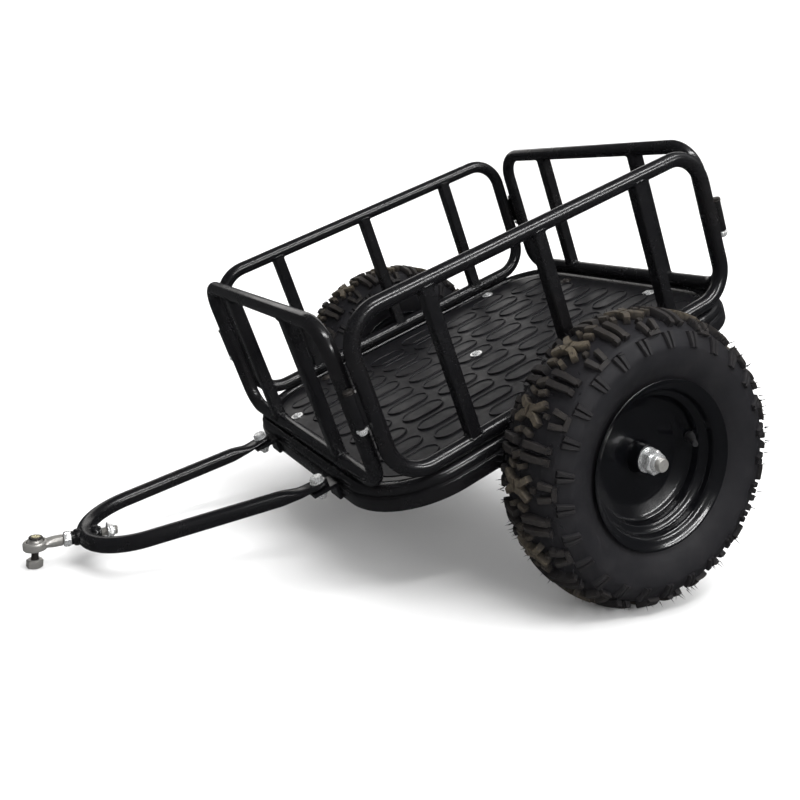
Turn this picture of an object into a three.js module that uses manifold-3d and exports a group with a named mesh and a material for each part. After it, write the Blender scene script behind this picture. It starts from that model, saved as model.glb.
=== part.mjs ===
// Tow-behind cart: a tubular-railed cargo bed on two knobbly-tyred wheels, with a bent drawbar and a ball-joint hitch.
// Millimetres. In the cart's own frame X points to the hitch, Y to the cart's left and Z up, with the origin at
// the middle of the bed, level with the rails' bottom tubes. The whole cart is then tipped to the way it rests.
import * as THREE from "three";
import { mergeVertices } from "three/addons/utils/BufferGeometryUtils.js";
import Module from "manifold-3d";

const wasm = await Module();
wasm.setup();

// ---- Driving dimensions -------------------------------------------------------------------------------------

const GAP = 0.3; // between pieces that touch

const TUBE_R = 11; // rails and drawbar are bent from one size of round tube
const POST_WIDTH = 19;
const RAIL_RISE = 227; // from a rail's bottom tube to its top tube
const SIDE_RAIL = { x: 302, y: 267, bend: 52 };
const END_RAIL = { x: 320, y: 246, bend: 45, lowBend: 33 };
const SIDE_POSTS = { rear: -182, middle: 0, front: 182 };
const END_POSTS = { right: -121, left: 121 };

const LUG = { x: 323, y: 265, r: 6.5, bore: 4.2, bottom: 92, top: 139, webWidth: 8, webReach: 12 };
const LUG_BOLT = { r: 3.9, headR: 7.2, headHeight: 4.6, nutR: 7.2, nutHeight: 6, tail: 2 };

const SKIRT = { x: 341, y: 284, bend: 118, wall: 4, top: -27.5, bottom: -46.5 };
const RING = { r: 9.5, inset: 12.5, z: -20.8 }; // inset: from the skirt's outside to the ring's centreline
const DECK = { x: 318.4, y: 261.4, bend: 106, top: -16.3, thick: 2 };
const MAT = { x: 308, y: 250, bend: 95, top: -13, thick: 3 };

const AXLE = { z: -101, bodyR: 12.5, bodyEnd: 306, spindleR: 10, end: 399 };
const AXLE_BEAM = { width: 40, height: 25, end: 259 };
const BRACKET = { y: 222, thick: 8, halfWidth: 30, footR: 21 };

const WHEEL_Y = 350.5;
const TYRE_R = 203.2;
const TYRE_SIDES = 40;
const RIM_SIDES = 28;
const HUB = { r: 20.5, bore: 17.8, inner: 308, outer: 371 };
const BEARING = { r: 17.5, bore: 10.3, width: 12 };
const AXLE_NUT = { flangeR: 18, flange: 3, hexR: 17.2, height: 17 };

const DRAWBAR = {
  bolt: { x: 363.4, y: 121.6, z: -17 },
  end: 350,
  flatTo: 392, // the flat end pieces stay level back from here
  nose: { x: 661, z: 28, bend: 84 },
  legSlope: 0.17, // sideways per forward, on each leg
  flatHalfWidth: 15,
  flatHalfThick: 4,
  flattenOver: 58,
};
const TAB = { back: 341.3, front: 379, halfWidth: 16, thick: 5, flange: 5, boltHole: 5.3 };
const TOW_BOLT = { r: 5, headR: 9.2, headHeight: 6.4, nutR: 9.2, nutHeight: 8, tail: 3 };

const ROD_RISE = THREE.MathUtils.degToRad(19.5); // the rod end's shank above the deck's plane
const BALL_CENTRE = { x: 720, z: 50 };
const EYE = { r: 16, half: 6, seatR: 11.3 };
const BALL = { r: 11, half: 9, bore: 5.3 };
const SHANK = { neckR: 5.8, bodyR: 7.4, bodyEnd: 35, threadR: 6, end: 106 };
const BOSS = { r: 9, bore: 6.3, outer: 45.2, inner: 84 };
const JAM_NUT = { hexR: 10.9, outer: 35.4, inner: 44.9 };
const SHANK_NUT = { hexR: 10.9, outer: 94.4, inner: 103.5 };
const STUD = { r: 5, headR: 9, headHeight: 4, drop: 30, nutHeight: 11, nutR: 10.9 };

const BEND_STEPS = 6;
const UP = new THREE.Vector3(0, 0, 1);
const LEFT = new THREE.Vector3(0, 1, 0);
const AHEAD = new THREE.Vector3(1, 0, 0);

// ---- Materials ----------------------------------------------------------------------------------------------

const paint = new THREE.MeshStandardMaterial({ color: 0x141416, roughness: 0.28, metalness: 0.3 });
const rimPaint = new THREE.MeshStandardMaterial({ color: 0x101012, roughness: 0.22, metalness: 0.3 });
const tyreRubber = new THREE.MeshStandardMaterial({ color: 0x2b2927, roughness: 0.85, metalness: 0 });
const matRubber = new THREE.MeshStandardMaterial({ color: 0x3a3a3c, roughness: 0.7, metalness: 0 });
const zinc = new THREE.MeshStandardMaterial({ color: 0xc9c7c0, roughness: 0.3, metalness: 1 });
const blackSteel = new THREE.MeshStandardMaterial({ color: 0x3c3a38, roughness: 0.4, metalness: 1 });

// ---- Helpers ------------------------------------------------------------------------------------------------

function vec(x, y, z) {
  return new THREE.Vector3(x, y, z);
}

function solid(geometry) {
  const bare = geometry.clone();
  bare.deleteAttribute("normal");
  bare.deleteAttribute("uv");
  const merged = mergeVertices(bare, 1e-3);
  return new wasm.Manifold(
    new wasm.Mesh({
      numProp: 3,
      vertProperties: new Float32Array(merged.attributes.position.array),
      triVerts: new Uint32Array(merged.index.array),
    }),
  );
}

function geometryOf(manifold) {
  const mesh = manifold.getMesh();
  const geometry = new THREE.BufferGeometry();
  geometry.setAttribute("position", new THREE.BufferAttribute(mesh.vertProperties, 3));
  geometry.setIndex(new THREE.BufferAttribute(mesh.triVerts, 1));
  geometry.computeVertexNormals();
  return geometry;
}

// A round bar or prism between two points.
function bar(radius, from, to, sides = 16) {
  const along = to.clone().sub(from);
  const geometry = new THREE.CylinderGeometry(radius, radius, along.length(), sides);
  const turn = new THREE.Quaternion().setFromUnitVectors(LEFT, along.clone().normalize());
  const middle = from.clone().add(to).multiplyScalar(0.5);
  return geometry.applyQuaternion(turn).translate(middle.x, middle.y, middle.z);
}

function box(low, high) {
  const size = high.clone().sub(low);
  const middle = high.clone().add(low).multiplyScalar(0.5);
  return new THREE.BoxGeometry(size.x, size.y, size.z).translate(middle.x, middle.y, middle.z);
}

// A turned piece about Y, from [radius, y] points that close on themselves; the points run outward side first.
function turned(profile, sides, turn = 0) {
  const points = [...profile, profile[0]].map(([r, y]) => new THREE.Vector2(r, y));
  return new THREE.LatheGeometry(points, sides, turn);
}

function circle(radius, sides) {
  return Array.from({ length: sides }, (_, k) => {
    const angle = (k / sides) * 2 * Math.PI;
    return [radius * Math.cos(angle), radius * Math.sin(angle)];
  });
}

// Carries a section along a row of points; up is square to the bends, and size stretches each ring.
function sweep(points, section, up, { closed = false, size = () => [1, 1] } = {}) {
  const count = points.length;
  const around = section.length;
  const positions = [];
  points.forEach((point, i) => {
    const before = points[closed ? (i + count - 1) % count : Math.max(i - 1, 0)];
    const after = points[closed ? (i + 1) % count : Math.min(i + 1, count - 1)];
    const along = after.clone().sub(before).normalize();
    const side = up.clone().cross(along).normalize();
    const rise = along.clone().cross(side);
    const [wide, tall] = size(point, i);
    for (const [u, v] of section) {
      const corner = point.clone().addScaledVector(side, u * wide).addScaledVector(rise, v * tall);
      positions.push(corner.x, corner.y, corner.z);
    }
  });
  const index = [];
  for (let i = 0; i < (closed ? count : count - 1); i += 1) {
    const here = i * around;
    const there = ((i + 1) % count) * around;
    for (let k = 0; k < around; k += 1) {
      const next = (k + 1) % around;
      index.push(here + k, here + next, there + next, here + k, there + next, there + k);
    }
  }
  if (!closed) {
    const last = (count - 1) * around;
    for (let k = 1; k < around - 1; k += 1) {
      index.push(0, k + 1, k, last, last + k, last + k + 1);
    }
  }
  const geometry = new THREE.BufferGeometry();
  geometry.setAttribute("position", new THREE.Float32BufferAttribute(positions, 3));
  geometry.setIndex(index);
  geometry.computeVertexNormals();
  return geometry;
}

// Points around a rounded rectangle, anticlockwise from its first corner.
function roundedRectangle(halfA, halfB, bend, lowBend = bend, steps = BEND_STEPS) {
  const signs = [[1, 1], [-1, 1], [-1, -1], [1, -1]];
  return signs.flatMap(([signA, signB], corner) =>
    Array.from({ length: steps + 1 }, (_, i) => {
      const angle = (corner + i / steps) * (Math.PI / 2);
      const radius = signB < 0 ? lowBend : bend;
      return [
        signA * (halfA - radius) + radius * Math.cos(angle),
        signB * (halfB - radius) + radius * Math.sin(angle),
      ];
    }),
  );
}

function sheet(halfX, halfY, bend, bottom, thick) {
  const outline = new THREE.Shape(roundedRectangle(halfX, halfY, bend).map(([x, y]) => new THREE.Vector2(x, y)));
  return new THREE.ExtrudeGeometry(outline, { depth: thick, bevelEnabled: false }).translate(0, 0, bottom);
}

function nut(hexR, bore, from, to) {
  const beyond = to.clone().sub(from).normalize();
  const hole = bar(bore, from.clone().sub(beyond), to.clone().add(beyond), 12);
  return geometryOf(solid(bar(hexR, from, to, 6)).subtract(solid(hole)));
}

// A bolt whose head sits on the point top and whose shank runs to the point tail.
function bolt(shankR, headR, headHeight, top, tail) {
  const out = top.clone().sub(tail).normalize();
  const head = bar(headR, top, top.clone().addScaledVector(out, headHeight), 6);
  const shank = bar(shankR, tail, top.clone().addScaledVector(out, headHeight / 2), 12);
  return geometryOf(solid(head).add(solid(shank)));
}

function add(parent, name, geometry, material) {
  const mesh = new THREE.Mesh(geometry, material);
  mesh.name = name;
  parent.add(mesh);
}

// ---- Frame and floor ----------------------------------------------------------------------------------------

function addFrame(cart) {
  const ringPath = roundedRectangle(SKIRT.x - RING.inset, SKIRT.y - RING.inset, SKIRT.bend - RING.inset);
  const ringPoints = ringPath.map(([x, y]) => vec(x, y, RING.z));
  add(cart, "frame_ring", sweep(ringPoints, circle(RING.r, 10), UP, { closed: true }), paint);

  const half = SKIRT.wall / 2;
  const tall = (SKIRT.top - SKIRT.bottom) / 2;
  const skirtPath = roundedRectangle(SKIRT.x - half, SKIRT.y - half, SKIRT.bend - half);
  const skirtPoints = skirtPath.map(([x, y]) => vec(x, y, SKIRT.bottom + tall));
  const band = [[-half, -tall], [half, -tall], [half, tall], [-half, tall]];
  add(cart, "frame_skirt", sweep(skirtPoints, band, UP, { closed: true }), paint);

  add(cart, "deck_plate", sheet(DECK.x, DECK.y, DECK.bend, DECK.top - DECK.thick, DECK.thick), paint);
  add(cart, "floor_mat", sheet(MAT.x, MAT.y, MAT.bend, MAT.top - MAT.thick, MAT.thick), matRubber);
}

// ---- Rails --------------------------------------------------------------------------------------------------

function addRail(cart, name, path, up) {
  add(cart, name, sweep(path, circle(TUBE_R, 10), up, { closed: true }), paint);
}

// A square post, its ends hollowed to sit on the round tubes that run along the rail.
function post(x, y, along) {
  const half = POST_WIDTH / 2;
  const blank = solid(box(vec(x - half, y - half, 0), vec(x + half, y + half, RAIL_RISE)));
  const reach = POST_WIDTH;
  const cuts = [0, RAIL_RISE].map((z) => {
    const middle = vec(x, y, z);
    const from = middle.clone().addScaledVector(along, -reach);
    const to = middle.clone().addScaledVector(along, reach);
    return solid(bar(TUBE_R + GAP, from, to, 20));
  });
  return geometryOf(blank.subtract(cuts[0]).subtract(cuts[1]));
}

function addRails(cart) {
  const middle = RAIL_RISE / 2;
  for (const [side, sign] of [["left", 1], ["right", -1]]) {
    const path = roundedRectangle(SIDE_RAIL.x, middle, SIDE_RAIL.bend);
    const points = path.map(([x, z]) => vec(x, sign * SIDE_RAIL.y, middle + z));
    addRail(cart, `rail_${side}`, points, LEFT);
    for (const [place, x] of Object.entries(SIDE_POSTS)) {
      add(cart, `post_${side}_${place}`, post(x, sign * SIDE_RAIL.y, AHEAD), paint);
    }
  }
  for (const [end, sign] of [["front", 1], ["rear", -1]]) {
    const path = roundedRectangle(END_RAIL.y, middle, END_RAIL.bend, END_RAIL.lowBend);
    const points = path.map(([y, z]) => vec(sign * END_RAIL.x, y, middle + z));
    addRail(cart, `rail_${end}`, points, AHEAD);
    for (const [place, y] of Object.entries(END_POSTS)) {
      add(cart, `post_${end}_${place}`, post(sign * END_RAIL.x, y, LEFT), paint);
    }
  }
}

// ---- Corner joints: a barrel on each corner with one upright bolt, holding a side rail to an end rail --------

function lug(x, y) {
  const inward = vec(-Math.sign(x), 0, 0);
  const barrel = solid(bar(LUG.r, vec(x, y, LUG.bottom), vec(x, y, LUG.top), 12));
  const webEnd = x + inward.x * LUG.webReach;
  const half = LUG.webWidth / 2;
  const low = vec(Math.min(x, webEnd), y - half, LUG.bottom);
  const high = vec(Math.max(x, webEnd), y + half, LUG.top);
  const hole = solid(bar(LUG.bore, vec(x, y, LUG.bottom - 1), vec(x, y, LUG.top + 1), 12));
  const sideTube = bar(TUBE_R + GAP, vec(Math.sign(x) * SIDE_RAIL.x, Math.sign(y) * SIDE_RAIL.y, 0),
    vec(Math.sign(x) * SIDE_RAIL.x, Math.sign(y) * SIDE_RAIL.y, RAIL_RISE), 20);
  const endTube = bar(TUBE_R + GAP, vec(Math.sign(x) * END_RAIL.x, Math.sign(y) * END_RAIL.y, 0),
    vec(Math.sign(x) * END_RAIL.x, Math.sign(y) * END_RAIL.y, RAIL_RISE), 20);
  const whole = barrel.add(solid(box(low, high))).subtract(hole);
  return geometryOf(whole.subtract(solid(sideTube)).subtract(solid(endTube)));
}

function addCorners(cart) {
  for (const [end, signX] of [["front", 1], ["rear", -1]]) {
    for (const [side, signY] of [["left", 1], ["right", -1]]) {
      const x = signX * LUG.x;
      const y = signY * LUG.y;
      const corner = `${end}_${side}`;
      const nutTop = LUG.bottom - GAP;
      const nutBottom = nutTop - LUG_BOLT.nutHeight;
      add(cart, `corner_barrel_${corner}`, lug(x, y), paint);
      add(cart, `corner_bolt_${corner}`,
        bolt(LUG_BOLT.r, LUG_BOLT.headR, LUG_BOLT.headHeight, vec(x, y, LUG.top + GAP),
          vec(x, y, nutBottom - LUG_BOLT.tail)), zinc);
      add(cart, `corner_nut_${corner}`,
        nut(LUG_BOLT.nutR, LUG.bore, vec(x, y, nutBottom), vec(x, y, nutTop)), zinc);
    }
  }
}

// ---- Axle ---------------------------------------------------------------------------------------------------

function bracket(y) {
  const top = DECK.top - DECK.thick - AXLE_BEAM.height - 2 * GAP;
  const outline = new THREE.Shape();
  outline.moveTo(-BRACKET.halfWidth, top);
  outline.absarc(0, AXLE.z, BRACKET.footR, Math.PI, 2 * Math.PI, false);
  outline.lineTo(BRACKET.halfWidth, top);
  const hole = new THREE.Path();
  hole.absarc(0, AXLE.z, AXLE.bodyR + GAP, 0, 2 * Math.PI, true);
  outline.holes.push(hole);
  const plate = new THREE.ExtrudeGeometry(outline, { depth: BRACKET.thick, bevelEnabled: false, curveSegments: 10 });
  return plate.rotateX(Math.PI / 2).translate(0, y + BRACKET.thick / 2, 0);
}

function addAxle(cart) {
  const beamTop = DECK.top - DECK.thick - GAP;
  const halfWidth = AXLE_BEAM.width / 2;
  const low = vec(-halfWidth, -AXLE_BEAM.end, beamTop - AXLE_BEAM.height);
  add(cart, "axle_beam", box(low, vec(halfWidth, AXLE_BEAM.end, beamTop)), paint);
  add(cart, "axle_bracket_left", bracket(BRACKET.y), paint);
  add(cart, "axle_bracket_right", bracket(-BRACKET.y), paint);
  const body = solid(bar(AXLE.bodyR, vec(0, -AXLE.bodyEnd, AXLE.z), vec(0, AXLE.bodyEnd, AXLE.z), 20));
  const spindles = solid(bar(AXLE.spindleR, vec(0, -AXLE.end, AXLE.z), vec(0, AXLE.end, AXLE.z), 20));
  add(cart, "axle", geometryOf(body.add(spindles)), blackSteel);
}

// ---- Wheels, built standing on the ground so that a flat of each tyre faces straight down ------------------

// A run of [radius, y] points mirrored across the wheel's middle plane, and turned to run the other way.
function flipped(points) {
  return points.map(([r, y]) => [r, -y]).reverse();
}

function tyre() {
  const outside = [
    [TYRE_R, 14], [197, 37], [185, 54], [160, 61], [136, 57], [115.6, 45.8], [104.5, 43.8], [101.6, 30],
  ];
  const inside = [[112, 36], [160, 50], [192, 18]];
  const profile = [...flipped(outside), ...outside, ...inside, ...flipped(inside)];
  return turned(profile, TYRE_SIDES, Math.PI / TYRE_SIDES);
}

// The rim's barrel and, on its inside, the dished disc that holds the hub.
function rim(sign) {
  const profile = [
    [115, -49], [115, -46.5], [104, -45], [101, -38], [101, -21], [90, -13], [90, 21], [101, 30],
    [104, 45], [115, 46.5], [115, 49], [101.5, 48], [98, 38], [98, 30.5], [87, 22.5], [87, 12], [67, 0.5],
    [HUB.r + GAP, 0.5], [HUB.r + GAP, -2.5], [68, -2.5], [87, 8], [87, -14.5], [98, -22.5], [101.5, -48],
  ];
  return turned(sign > 0 ? profile : flipped(profile), RIM_SIDES);
}

function ring(outerR, bore, from, to, sides = 16) {
  return turned([[outerR, from], [outerR, to], [bore, to], [bore, from]], sides);
}

function axleNut(sign) {
  const start = HUB.outer + GAP;
  const flangeEnd = start + AXLE_NUT.flange;
  const flange = solid(bar(AXLE_NUT.flangeR, vec(0, sign * start, 0), vec(0, sign * flangeEnd, 0), 20));
  const hexStart = vec(0, sign * (flangeEnd - 1), 0);
  const hex = solid(bar(AXLE_NUT.hexR, hexStart, vec(0, sign * (start + AXLE_NUT.height), 0), 6));
  const hole = solid(bar(AXLE.spindleR + GAP, vec(0, sign * (start - 1), 0), vec(0, sign * (AXLE.end + 1), 0), 20));
  return geometryOf(flange.add(hex).subtract(hole));
}

function addWheels(cart, tilt) {
  for (const [side, sign] of [["left", 1], ["right", -1]]) {
    const wheel = new THREE.Group();
    wheel.position.set(0, 0, AXLE.z);
    wheel.rotation.y = -tilt;
    cart.add(wheel);
    const centred = (geometry) => geometry.translate(0, sign * WHEEL_Y, 0);
    add(wheel, `tyre_${side}`, centred(tyre()), tyreRubber);
    add(wheel, `rim_${side}`, centred(rim(sign)), rimPaint);
    const [low, high] = [sign * HUB.inner, sign * HUB.outer].sort((a, b) => a - b);
    add(wheel, `hub_${side}`, ring(HUB.r, HUB.bore, low, high), rimPaint);
    for (const [place, end] of [["inner", HUB.inner], ["outer", HUB.outer - BEARING.width]]) {
      const from = Math.min(sign * end, sign * (end + BEARING.width));
      add(wheel, `bearing_${side}_${place}`, ring(BEARING.r, BEARING.bore, from, from + BEARING.width), zinc);
    }
    add(wheel, `axle_nut_${side}`, axleNut(sign), zinc);
  }
}

// ---- Drawbar ------------------------------------------------------------------------------------------------

function drawbarHeight(x) {
  const { bolt: seat, flatTo, nose } = DRAWBAR;
  return seat.z + (Math.max(x - flatTo, 0) * (nose.z - seat.z)) / (nose.x - flatTo);
}

// The left leg from its flat end, round the nose and back down the right leg.
function drawbarPath() {
  const { nose, legSlope, end, flatTo } = DRAWBAR;
  const centreX = nose.x - nose.bend;
  const spread = Math.atan(legSlope);
  const tangent = Math.PI / 2 - spread;
  const meet = { x: centreX + nose.bend * Math.cos(tangent), y: nose.bend * Math.sin(tangent) };
  const stops = [end, end + 2, end + 6, end + 13, flatTo - 10, flatTo, flatTo + 10, flatTo + 20, flatTo + 30, 480];
  const leg = stops.map((x) => [x, meet.y + legSlope * (meet.x - x)]);
  const steps = 12;
  const arc = Array.from({ length: steps + 1 }, (_, i) => {
    const angle = tangent * (1 - (2 * i) / steps);
    return [centreX + nose.bend * Math.cos(angle), nose.bend * Math.sin(angle)];
  });
  const other = leg.map(([x, y]) => [x, -y]).reverse();
  return [...leg, ...arc, ...other].map(([x, y]) => vec(x, y, drawbarHeight(x)));
}

function drawbar() {
  const { end, flatTo, flatHalfWidth, flatHalfThick, flattenOver, bolt: seat } = DRAWBAR;
  const size = (point) => {
    const back = THREE.MathUtils.smoothstep(point.x, flatTo - 10, flatTo - 10 + flattenOver);
    const fromEnd = Math.min(point.x - end, flatHalfWidth);
    const rounding = Math.sqrt(1 - ((flatHalfWidth - fromEnd) / (flatHalfWidth * 1.05)) ** 2);
    const wide = THREE.MathUtils.lerp(flatHalfWidth * rounding, TUBE_R, back);
    const tall = THREE.MathUtils.lerp(flatHalfThick, TUBE_R, back);
    return [wide / TUBE_R, tall / TUBE_R];
  };
  let tube = solid(sweep(drawbarPath(), circle(TUBE_R, 12), UP, { size }));
  for (const sign of [1, -1]) {
    const hole = bar(TAB.boltHole, vec(seat.x, sign * seat.y, -60), vec(seat.x, sign * seat.y, 20), 12);
    tube = tube.subtract(solid(hole));
  }
  const bossHole = bar(BOSS.r + GAP, alongShank(BOSS.outer - 20), alongShank(BOSS.inner + 20), 20);
  return geometryOf(tube.subtract(solid(bossHole)));
}

// A point on the rod end's axis, a distance back from the ball's centre.
function alongShank(distance) {
  return vec(BALL_CENTRE.x - distance * Math.cos(ROD_RISE), 0, BALL_CENTRE.z - distance * Math.sin(ROD_RISE));
}

function tab(sign) {
  const { bolt: seat, flatHalfThick } = DRAWBAR;
  const y = sign * seat.y;
  const top = seat.z - flatHalfThick - GAP;
  const plate = solid(box(vec(TAB.back, y - TAB.halfWidth, top - TAB.thick), vec(TAB.front, y + TAB.halfWidth, top)));
  const flangeLow = vec(TAB.back, y - TAB.halfWidth, SKIRT.bottom);
  const flange = solid(box(flangeLow, vec(TAB.back + TAB.flange, y + TAB.halfWidth, top)));
  const hole = solid(bar(TAB.boltHole, vec(seat.x, y, top - TAB.thick - 1), vec(seat.x, y, top + 1), 12));
  return geometryOf(plate.add(flange).subtract(hole));
}

function addDrawbar(cart) {
  const { bolt: seat, flatHalfThick } = DRAWBAR;
  for (const [side, sign] of [["left", 1], ["right", -1]]) {
    const y = sign * seat.y;
    const nutTop = seat.z - flatHalfThick - TAB.thick - 2 * GAP;
    const nutBottom = nutTop - TOW_BOLT.nutHeight;
    add(cart, `drawbar_tab_${side}`, tab(sign), paint);
    add(cart, `drawbar_bolt_${side}`,
      bolt(TOW_BOLT.r, TOW_BOLT.headR, TOW_BOLT.headHeight, vec(seat.x, y, seat.z + flatHalfThick + GAP),
        vec(seat.x, y, nutBottom - TOW_BOLT.tail)), zinc);
    add(cart, `drawbar_nut_${side}`,
      nut(TOW_BOLT.nutR, TAB.boltHole, vec(seat.x, y, nutBottom), vec(seat.x, y, nutTop)), zinc);
  }
  add(cart, "drawbar", drawbar(), paint);
  const sleeve = solid(bar(BOSS.r, alongShank(BOSS.outer), alongShank(BOSS.inner), 20));
  const bore = solid(bar(BOSS.bore, alongShank(BOSS.outer - 1), alongShank(BOSS.inner + 1), 20));
  add(cart, "drawbar_sleeve", geometryOf(sleeve.subtract(bore)), paint);
}

// ---- Ball-joint hitch ---------------------------------------------------------------------------------------

// The eye and its shank, with the ball's seat cut through the eye. Local X runs out along the shank.
function rodEnd() {
  const eye = solid(bar(EYE.r, vec(0, 0, -EYE.half), vec(0, 0, EYE.half), 20));
  const neck = new THREE.CylinderGeometry(SHANK.bodyR, SHANK.neckR, SHANK.bodyEnd - 12, 16);
  neck.rotateZ(Math.PI / 2).translate(-(SHANK.bodyEnd + 12) / 2, 0, 0);
  const thread = solid(bar(SHANK.threadR, vec(-SHANK.end, 0, 0), vec(-SHANK.bodyEnd + 2, 0, 0), 16));
  const seat = solid(new THREE.SphereGeometry(EYE.seatR, 20, 12));
  return geometryOf(eye.add(solid(neck)).add(thread).subtract(seat));
}

function ball() {
  const steps = 4;
  const top = Math.asin(BALL.half / BALL.r);
  const outside = Array.from({ length: steps + 1 }, (_, i) => {
    const angle = top * ((2 * i) / steps - 1);
    return [BALL.r * Math.cos(angle), BALL.r * Math.sin(angle)];
  });
  return turned([...outside, [BALL.bore, BALL.half], [BALL.bore, -BALL.half]], 18).rotateX(Math.PI / 2);
}

function addHitch(cart, tilt) {
  const housing = new THREE.Group();
  housing.position.set(BALL_CENTRE.x, 0, BALL_CENTRE.z);
  housing.rotation.y = -ROD_RISE;
  cart.add(housing);
  add(housing, "rod_end", rodEnd(), zinc);
  const locks = [["jam_nut", JAM_NUT], ["shank_nut", SHANK_NUT]];
  for (const [name, { hexR, outer, inner }] of locks) {
    add(housing, name, nut(hexR, SHANK.threadR + GAP, vec(-inner, 0, 0), vec(-outer, 0, 0)), zinc);
  }

  // The ball and its stud hang plumb, so the stud's nut stands flat on the ground.
  const plumb = new THREE.Group();
  plumb.position.copy(housing.position);
  plumb.rotation.y = -tilt;
  cart.add(plumb);
  add(plumb, "rod_end_ball", ball(), zinc);
  const head = solid(bar(STUD.headR, vec(0, 0, BALL.half + GAP), vec(0, 0, BALL.half + GAP + STUD.headHeight), 20));
  const stem = solid(bar(STUD.r, vec(0, 0, -STUD.drop + GAP), vec(0, 0, BALL.half + 1), 16));
  add(plumb, "hitch_stud", geometryOf(head.add(stem)), blackSteel);
  const nutTop = -STUD.drop + STUD.nutHeight;
  add(plumb, "stud_nut", nut(STUD.nutR, STUD.r + GAP, vec(0, 0, -STUD.drop), vec(0, 0, nutTop)), blackSteel);
}

// ---- The way it rests: on its two tyres and the hitch stud's nut ------------------------------------------------

// The tilt, nose down, that puts the stud's nut on the ground along with the tyres' lowest flats.
function restTilt() {
  const rise = BALL_CENTRE.z - AXLE.z;
  const reach = Math.hypot(BALL_CENTRE.x, rise);
  const drop = TYRE_R * Math.cos(Math.PI / TYRE_SIDES) - STUD.drop;
  return Math.asin(drop / reach) + Math.atan2(rise, BALL_CENTRE.x);
}

function build() {
  const cart = new THREE.Group();
  const tilt = restTilt();
  addFrame(cart);
  addRails(cart);
  addCorners(cart);
  addAxle(cart);
  addWheels(cart, tilt);
  addDrawbar(cart);
  addHitch(cart, tilt);
  cart.rotation.y = tilt;

  const whole = new THREE.Group();
  whole.add(cart);
  const bounds = new THREE.Box3().setFromObject(whole, true);
  const middle = bounds.getCenter(new THREE.Vector3());
  cart.position.set(-middle.x, -middle.y, -bounds.min.z);
  return whole;
}

const group = build();
export default group;
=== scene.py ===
"""The tow-behind cart's visual model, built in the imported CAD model's frame."""

import math
import random

import bmesh
import bpy
from mathutils import Matrix, Vector


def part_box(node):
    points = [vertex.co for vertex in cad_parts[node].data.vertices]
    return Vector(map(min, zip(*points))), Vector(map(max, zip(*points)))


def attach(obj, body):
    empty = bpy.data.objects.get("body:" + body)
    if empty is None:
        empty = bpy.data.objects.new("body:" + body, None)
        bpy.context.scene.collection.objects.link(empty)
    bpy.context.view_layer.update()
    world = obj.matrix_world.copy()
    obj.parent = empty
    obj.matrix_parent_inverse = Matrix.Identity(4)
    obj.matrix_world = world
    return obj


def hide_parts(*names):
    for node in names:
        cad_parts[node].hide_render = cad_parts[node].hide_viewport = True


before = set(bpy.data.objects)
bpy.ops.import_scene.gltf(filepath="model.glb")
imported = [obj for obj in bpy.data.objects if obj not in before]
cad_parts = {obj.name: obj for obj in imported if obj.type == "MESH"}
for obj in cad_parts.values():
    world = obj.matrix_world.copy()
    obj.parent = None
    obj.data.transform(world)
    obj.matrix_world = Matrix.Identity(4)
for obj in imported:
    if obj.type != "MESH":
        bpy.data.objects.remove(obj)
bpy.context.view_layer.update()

# ---- The cart's own frame: millimetres, X to the hitch, Y left, Z up, tipped to the way it rests

MM = 0.001
SIDES = (("left", 1), ("right", -1))
ENDS = (("front", 1), ("rear", -1))
TYRE_R = 203.2
AXLE_Z = -101.0
BALL = Vector((720.0, 0.0, 50.0))
STUD_DROP = 30.0
ROD_RISE = math.radians(19.5)
WHEEL_Y = 350.5

_drop = TYRE_R * math.cos(math.pi / 40) - STUD_DROP
TILT = math.asin(_drop / math.hypot(BALL.x, BALL.z - AXLE_Z)) + math.atan2(BALL.z - AXLE_Z, BALL.x)
_low, _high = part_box("tyre_left")
AXLE_POINT = Vector(((_low.x + _high.x) / 2, 0.0, (_low.z + _high.z) / 2))
TIP = Matrix.Rotation(TILT, 4, "Y")
CART = Matrix.Translation(AXLE_POINT - TIP @ Vector((0, 0, AXLE_Z * MM))) @ TIP @ Matrix.Scale(MM, 4)


def wheel_frame(sign):
    return Matrix.Translation(AXLE_POINT + Vector((0, sign * WHEEL_Y * MM, 0))) @ Matrix.Scale(MM, 4)


def joint_frame(turn):
    """At the ball's centre, X along a line that is turned up by that angle from the cart's X."""
    return CART @ Matrix.Translation(BALL) @ Matrix.Rotation(-turn, 4, "Y")


# ---- Camera

CAMERA_PLACE = Vector((636.8, 1216.3, 523.8))
CAMERA_AZIMUTH = math.radians(66.36)
CAMERA_ELEVATION = math.radians(16.36)
CAMERA_ROLL = math.radians(-19.13)


def add_camera():
    lift = math.cos(CAMERA_ELEVATION)
    ahead = -Vector((lift * math.cos(CAMERA_AZIMUTH), lift * math.sin(CAMERA_AZIMUTH),
                     math.sin(CAMERA_ELEVATION)))
    right = ahead.cross(Vector((0, 0, 1))).normalized()
    down = ahead.cross(right)
    c, s = math.cos(CAMERA_ROLL), math.sin(CAMERA_ROLL)
    rolled_right = right * c - down * s
    rolled_down = right * s + down * c
    axes = Matrix((rolled_right, -rolled_down, -ahead)).transposed()
    data = bpy.data.cameras.new("camera")
    data.lens = 39.5
    data.sensor_width = 36.0
    data.shift_x, data.shift_y = 0.0025, -0.125
    data.clip_start, data.clip_end = 0.05, 60.0
    camera = bpy.data.objects.new("camera", data)
    bpy.context.scene.collection.objects.link(camera)
    camera.matrix_world = Matrix.Translation(CART @ CAMERA_PLACE) @ (TIP.to_3x3() @ axes).to_4x4()
    bpy.context.scene.camera = camera


add_camera()

# ---- Materials


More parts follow.
